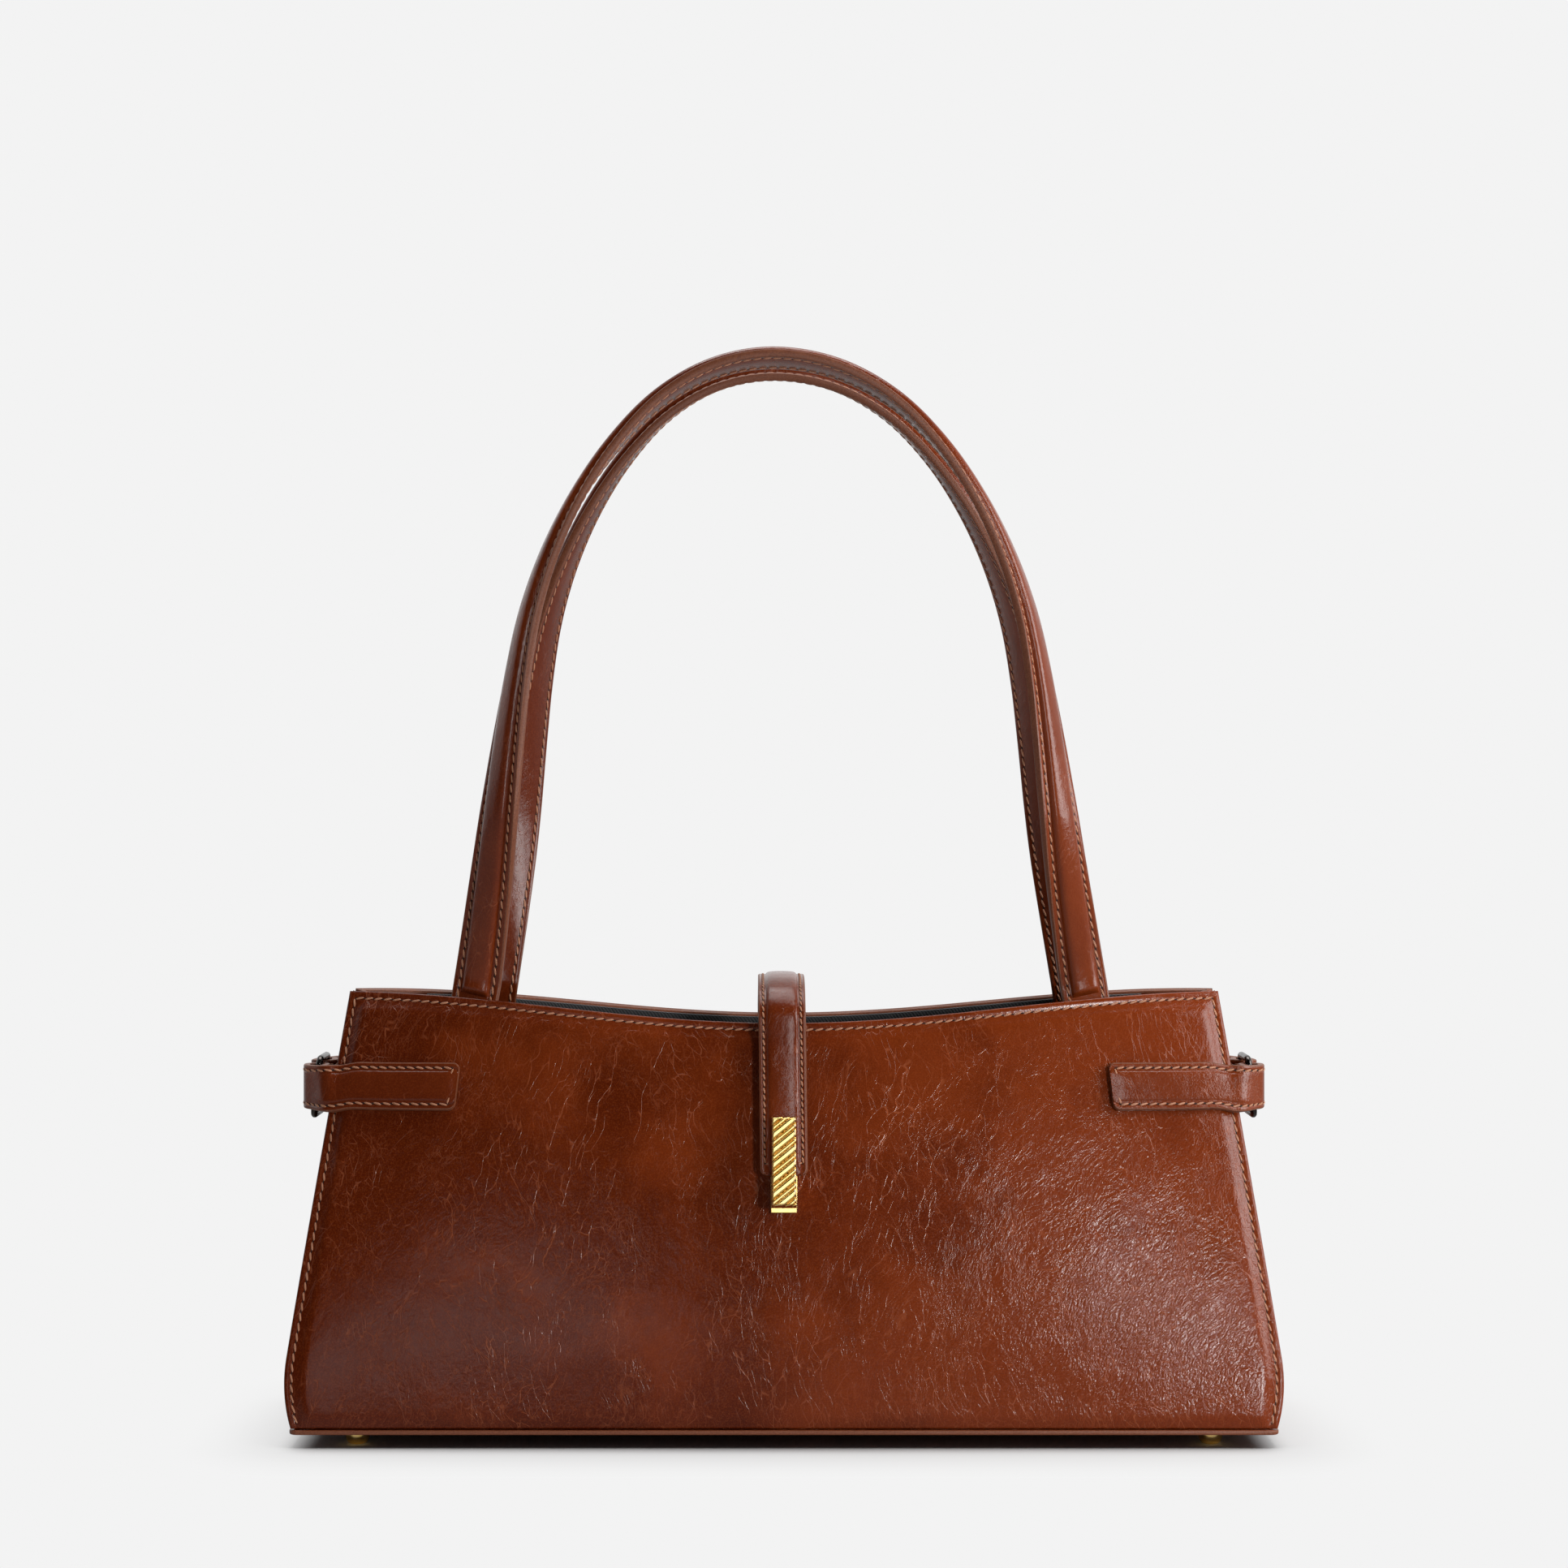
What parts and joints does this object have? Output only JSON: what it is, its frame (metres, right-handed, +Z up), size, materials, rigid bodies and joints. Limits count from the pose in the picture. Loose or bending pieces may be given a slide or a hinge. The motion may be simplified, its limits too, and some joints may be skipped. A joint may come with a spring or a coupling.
{
  "type": "tote bag",
  "caption": "Wide, low leather tote bag with tall shoulder handles, folded sides belted through rings, and a narrow tab that closes the mouth with a ribbed metal clasp.",
  "frame": {"origin": "on the floor under the middle of the bag", "axes": "+Z up, the front with the clasp faces -Y, the handles stand over the bag along X"},
  "size_m": [0.3418, 0.1039, 0.3783],
  "materials": {
    "leather": "polished cognac brown with fine creases and tan stitching",
    "gold": "polished gold plating",
    "steel": "nickel plating",
    "lining": "matte black weave",
    "padding": "felt",
    "board": "raw fibre board"
  },
  "bodies": {
    "bag": {"front_panel": "leather", "back_panel": "leather", "left_gusset": "leather", "right_gusset": "leather", "base_panel": "leather", "front_handle_end_left": "leather", "front_handle_end_right": "leather", "back_handle_end_left": "leather", "back_handle_end_right": "leather", "tab_anchor": "leather", "left_side_strap_front": "leather", "left_side_strap_back": "leather", "right_side_strap_front": "leather", "right_side_strap_back": "leather", "lining": "lining", "base_board": "board", "front_padding": "padding", "back_padding": "padding", "clasp_seat": "gold", "left_side_ring": "steel", "right_side_ring": "steel", "foot_front_left": "gold", "foot_front_right": "gold", "foot_back_left": "gold", "foot_back_right": "gold", "panel_magnet": "steel", "foot_washer_front_left": "steel", "foot_washer_front_right": "steel", "foot_washer_back_left": "steel", "foot_washer_back_right": "steel"},
    "front_arch": {"front_handle": "leather"},
    "back_arch": {"back_handle": "leather"},
    "tab": {"closure_tab": "leather", "clasp_bar": "gold", "clasp_back_plate": "steel", "clasp_screw_lower": "steel", "clasp_screw_upper": "steel", "clasp_magnet": "steel"}
  },
  "joints": [
    {"name": "front_handle_fold", "type": "hinge", "parent": "bag", "child": "front_arch", "pos_m": [0, -0.01405, 0.15488], "axis": [1, 0, 0], "range_deg": [-3, 105]},
    {"name": "back_handle_fold", "type": "hinge", "parent": "bag", "child": "back_arch", "pos_m": [0, 0.01446, 0.15465], "axis": [-1, 0, 0], "range_deg": [-3, 105]},
    {"name": "tab_lift", "type": "hinge", "parent": "bag", "child": "tab", "pos_m": [0, 0.02969, 0.14592], "axis": [-1, 0, 0], "range_deg": [0, 150]}
  ]
}
